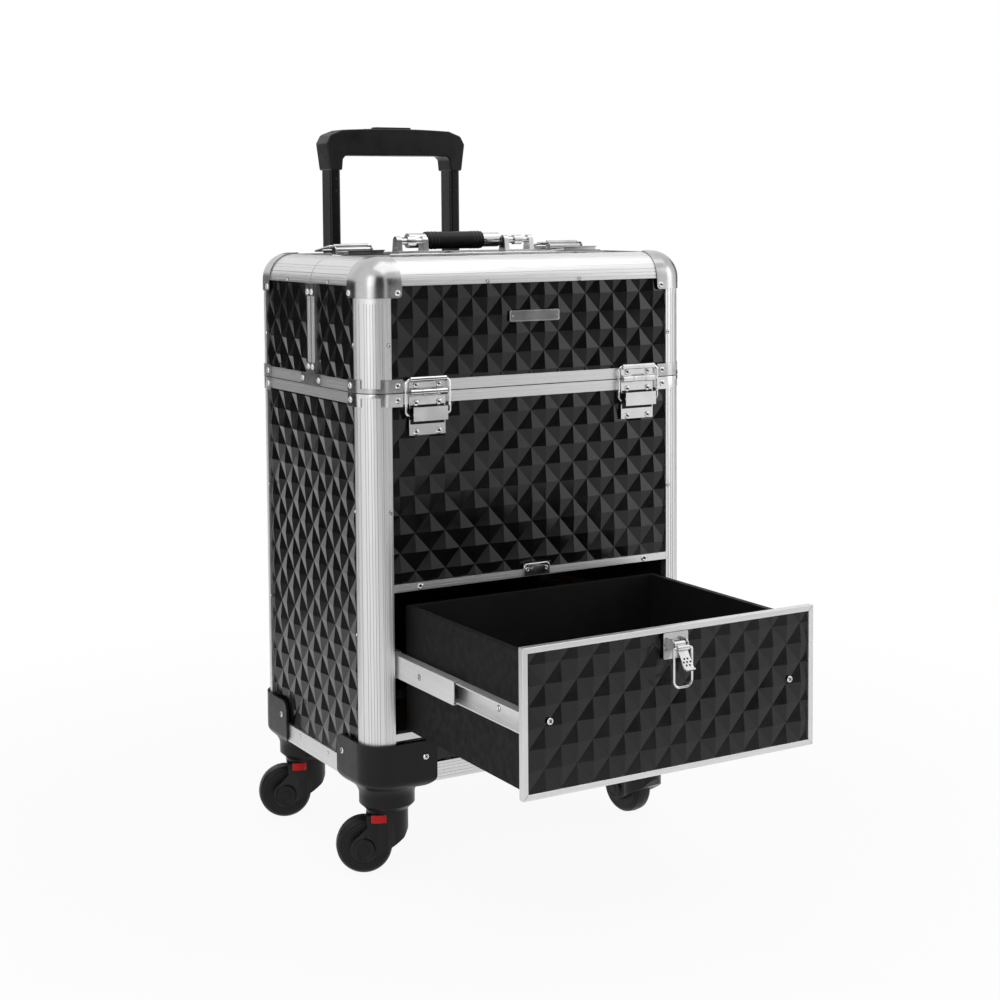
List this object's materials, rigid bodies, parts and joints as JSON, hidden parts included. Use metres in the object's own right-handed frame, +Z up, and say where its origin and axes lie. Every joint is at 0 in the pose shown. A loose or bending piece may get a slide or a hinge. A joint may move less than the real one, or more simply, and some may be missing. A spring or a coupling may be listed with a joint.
{
  "type": "rolling_makeup_case",
  "caption": "Rolling makeup case with aluminium frame, black diamond-relief panels, split top with trays, open drawer, swivel casters and trolley handle",
  "frame": {"origin": "on the floor under the middle of the case's frame", "axes": "+X to the right as seen from the front, +Y to the rear where the trolley handle stands, +Z up"},
  "size_m": [0.3789, 0.57, 0.718],
  "materials": {
    "aluminium": "satin extruded sections with fine lengthwise grooves",
    "chrome": "bright plated sheet metal and wire",
    "black_panel": "satin black sheet pressed into raised diamonds",
    "black_board": "matt black lined board",
    "black_plastic": "satin moulded plastic",
    "slide_steel": "zinc-plated rolled sheet",
    "wood_board": "raw fibreboard",
    "black_tube": "black coated steel tube",
    "tyre": "smooth matt rubber"
  },
  "bodies": {
    "case": {"lower_posts": "aluminium", "lower_rails": "aluminium", "bay_rails": "aluminium", "side_panels": "black_panel", "rear_panel": "black_panel", "front_panel": "black_panel", "inner_boards": "wood_board", "lower_clips": "chrome", "boots": "black_plastic", "slide_channels": "slide_steel", "drawer_catch": "chrome", "lower_hinge_leaves": "chrome", "case_rivets": "chrome", "handle_sleeves": "black_tube", "handle_mounts": "black_plastic"},
    "front_lid": {"front_lid_panels": "black_panel", "front_lid_frame": "aluminium", "front_lid_corners": "chrome", "front_lid_hinges": "chrome", "front_lid_rivets": "chrome", "badge_plate": "chrome", "latch_strikes": "chrome"},
    "rear_lid": {"rear_lid_panels": "black_panel", "rear_lid_frame": "aluminium", "rear_lid_corners": "chrome", "rear_lid_hinges": "chrome", "rear_lid_rivets": "chrome", "carry_brackets": "chrome", "latch_bases": "chrome"},
    "front_stays": {"front_stays": "chrome"},
    "rear_stays": {"rear_stays": "chrome"},
    "latch_lever_left": {"latch_lever_left": "chrome"},
    "latch_lever_right": {"latch_lever_right": "chrome"},
    "latch_bail_left": {"latch_bail_left": "chrome"},
    "latch_bail_right": {"latch_bail_right": "chrome"},
    "carry_handle": {"carry_arms": "chrome", "carry_grip": "black_plastic"},
    "handle_middle": {"handle_middle_tubes": "black_tube"},
    "handle_inner": {"handle_inner_tubes": "black_tube", "handle_grip": "black_plastic"},
    "handle_button": {"handle_button": "black_plastic"},
    "drawer": {"drawer_box": "black_board", "drawer_front": "black_panel", "drawer_trim": "aluminium", "drawer_rails": "slide_steel", "drawer_latch_base": "chrome"},
    "slide_middle": {"slide_middle_rails": "slide_steel"},
    "drawer_latch_lever": {"drawer_latch_lever": "chrome"},
    "drawer_latch_bail": {"drawer_latch_bail": "chrome"},
    "tray_low": {"tray_low": "black_plastic"},
    "tray_high": {"tray_high": "black_plastic"},
    "tray_arms": {"tray_arms": "chrome"},
    "fork_front_left": {"fork_front_left": "black_plastic"},
    "wheel_front_left": {"wheel_front_left": "tyre"},
    "fork_front_right": {"fork_front_right": "black_plastic"},
    "wheel_front_right": {"wheel_front_right": "tyre"},
    "fork_rear_left": {"fork_rear_left": "black_plastic"},
    "wheel_rear_left": {"wheel_rear_left": "tyre"},
    "fork_rear_right": {"fork_rear_right": "black_plastic"},
    "wheel_rear_right": {"wheel_rear_right": "tyre"}
  },
  "joints": [
    {"name": "front_lid_hinge", "type": "hinge", "parent": "case", "child": "front_lid", "pos_m": [0, -0.1317, 0.4594], "axis": [1, 0, 0], "range_deg": [0, 95]},
    {"name": "rear_lid_hinge", "type": "hinge", "parent": "case", "child": "rear_lid", "pos_m": [0, 0.1317, 0.4594], "axis": [-1, 0, 0], "range_deg": [0, 12]},
    {"name": "front_stay_hinge", "type": "hinge", "parent": "front_lid", "child": "front_stays", "pos_m": [0, -0.1308, 0.4714], "axis": [1, 0, 0], "range_deg": [-73, 0]},
    {"name": "rear_stay_hinge", "type": "hinge", "parent": "rear_lid", "child": "rear_stays", "pos_m": [0, 0.1308, 0.4714], "axis": [-1, 0, 0], "range_deg": [-10, 0]},
    {"name": "carry_handle_hinge", "type": "hinge", "parent": "rear_lid", "child": "carry_handle", "pos_m": [0, 0.0088, 0.5964], "axis": [1, 0, 0], "range_deg": [0, 100]},
    {"name": "latch_lever_left_hinge", "type": "hinge", "parent": "rear_lid", "child": "latch_lever_left", "pos_m": [-0.124, 0.014, 0.5886], "axis": [1, 0, 0], "range_deg": [0, 80]},
    {"name": "latch_bail_left_hinge", "type": "hinge", "parent": "latch_lever_left", "child": "latch_bail_left", "pos_m": [-0.124, 0.019, 0.5924], "axis": [1, 0, 0], "range_deg": [0, 65]},
    {"name": "latch_lever_right_hinge", "type": "hinge", "parent": "rear_lid", "child": "latch_lever_right", "pos_m": [0.124, 0.014, 0.5886], "axis": [1, 0, 0], "range_deg": [0, 80]},
    {"name": "latch_bail_right_hinge", "type": "hinge", "parent": "latch_lever_right", "child": "latch_bail_right", "pos_m": [0.124, 0.019, 0.5924], "axis": [1, 0, 0], "range_deg": [0, 65]},
    {"name": "drawer_slide", "type": "slide", "parent": "case", "child": "drawer", "axis": [0, -1, 0], "range_m": [-0.2285, 0]},
    {"name": "slide_middle_slide", "type": "slide", "parent": "case", "child": "slide_middle", "axis": [0, -1, 0], "range_m": [-0.11425, 0]},
    {"name": "drawer_latch_lever_hinge", "type": "hinge", "parent": "drawer", "child": "drawer_latch_lever", "pos_m": [0, -0.3617, 0.2547], "axis": [-1, 0, 0], "range_deg": [-35, 60]},
    {"name": "drawer_latch_bail_hinge", "type": "hinge", "parent": "drawer_latch_lever", "child": "drawer_latch_bail", "pos_m": [0, -0.36768, 0.25278], "axis": [-1, 0, 0], "range_deg": [-60, 35]},
    {"name": "handle_middle_slide", "type": "slide", "parent": "case", "child": "handle_middle", "axis": [0, 0, 1], "range_m": [-0.1455, 0.0625]},
    {"name": "handle_inner_slide", "type": "slide", "parent": "handle_middle", "child": "handle_inner", "axis": [0, 0, 1], "range_m": [-0.1455, 0.0625]},
    {"name": "handle_button_slide", "type": "slide", "parent": "handle_inner", "child": "handle_button", "axis": [0, 0, -1], "range_m": [0, 0.003], "stiffness_N_per_m": 600, "springref_m": -0.002},
    {"name": "swivel_front_left", "type": "hinge", "parent": "case", "child": "fork_front_left", "pos_m": [-0.147, -0.094, 0.0624], "axis": [0, 0, 1], "continuous": true},
    {"name": "axle_front_left", "type": "hinge", "parent": "fork_front_left", "child": "wheel_front_left", "pos_m": [-0.16677, -0.08436, 0.027], "axis": [-0.4384, -0.8988, 0], "continuous": true},
    {"name": "swivel_front_right", "type": "hinge", "parent": "case", "child": "fork_front_right", "pos_m": [0.147, -0.094, 0.0624], "axis": [0, 0, 1], "continuous": true},
    {"name": "axle_front_right", "type": "hinge", "parent": "fork_front_right", "child": "wheel_front_right", "pos_m": [0.14432, -0.07216, 0.027], "axis": [-0.9925, -0.1219, 0], "continuous": true},
    {"name": "swivel_rear_left", "type": "hinge", "parent": "case", "child": "fork_rear_left", "pos_m": [-0.147, 0.094, 0.0624], "axis": [0, 0, 1], "continuous": true},
    {"name": "axle_rear_left", "type": "hinge", "parent": "fork_rear_left", "child": "wheel_rear_left", "pos_m": [-0.16767, 0.10152, 0.027], "axis": [-0.342, -0.9397, 0], "continuous": true},
    {"name": "swivel_rear_right", "type": "hinge", "parent": "case", "child": "fork_rear_right", "pos_m": [0.147, 0.094, 0.0624], "axis": [0, 0, 1], "continuous": true},
    {"name": "axle_rear_right", "type": "hinge", "parent": "fork_rear_right", "child": "wheel_rear_right", "pos_m": [0.12795, 0.105, 0.027], "axis": [-0.5, -0.866, 0], "continuous": true},
    {"name": "tray_arm_hinge", "type": "hinge", "parent": "case", "child": "tray_arms", "pos_m": [0, -0.0967, 0.4549], "axis": [1, 0, 0], "range_deg": [0, 95]},
    {"name": "tray_low_hinge", "type": "hinge", "parent": "front_lid", "child": "tray_low", "pos_m": [0, -0.0997, 0.4914], "axis": [1, 0, 0], "range_deg": [-95, 0]},
    {"name": "tray_high_hinge", "type": "hinge", "parent": "front_lid", "child": "tray_high", "pos_m": [0, -0.0677, 0.5234], "axis": [1, 0, 0], "range_deg": [-95, 0]}
  ],
  "couplings": [
    {"joint": "front_stay_hinge", "follows": "front_lid_hinge", "ratio": -0.7653},
    {"joint": "rear_stay_hinge", "follows": "rear_lid_hinge", "ratio": -0.7653},
    {"joint": "slide_middle_slide", "follows": "drawer_slide", "ratio": 0.5},
    {"joint": "drawer_latch_bail_hinge", "follows": "drawer_latch_lever_hinge", "ratio": -1},
    {"joint": "handle_middle_slide", "follows": "handle_inner_slide", "ratio": 1},
    {"joint": "tray_arm_hinge", "follows": "front_lid_hinge", "ratio": 1},
    {"joint": "tray_low_hinge", "follows": "front_lid_hinge", "ratio": -1},
    {"joint": "tray_high_hinge", "follows": "front_lid_hinge", "ratio": -1}
  ]
}
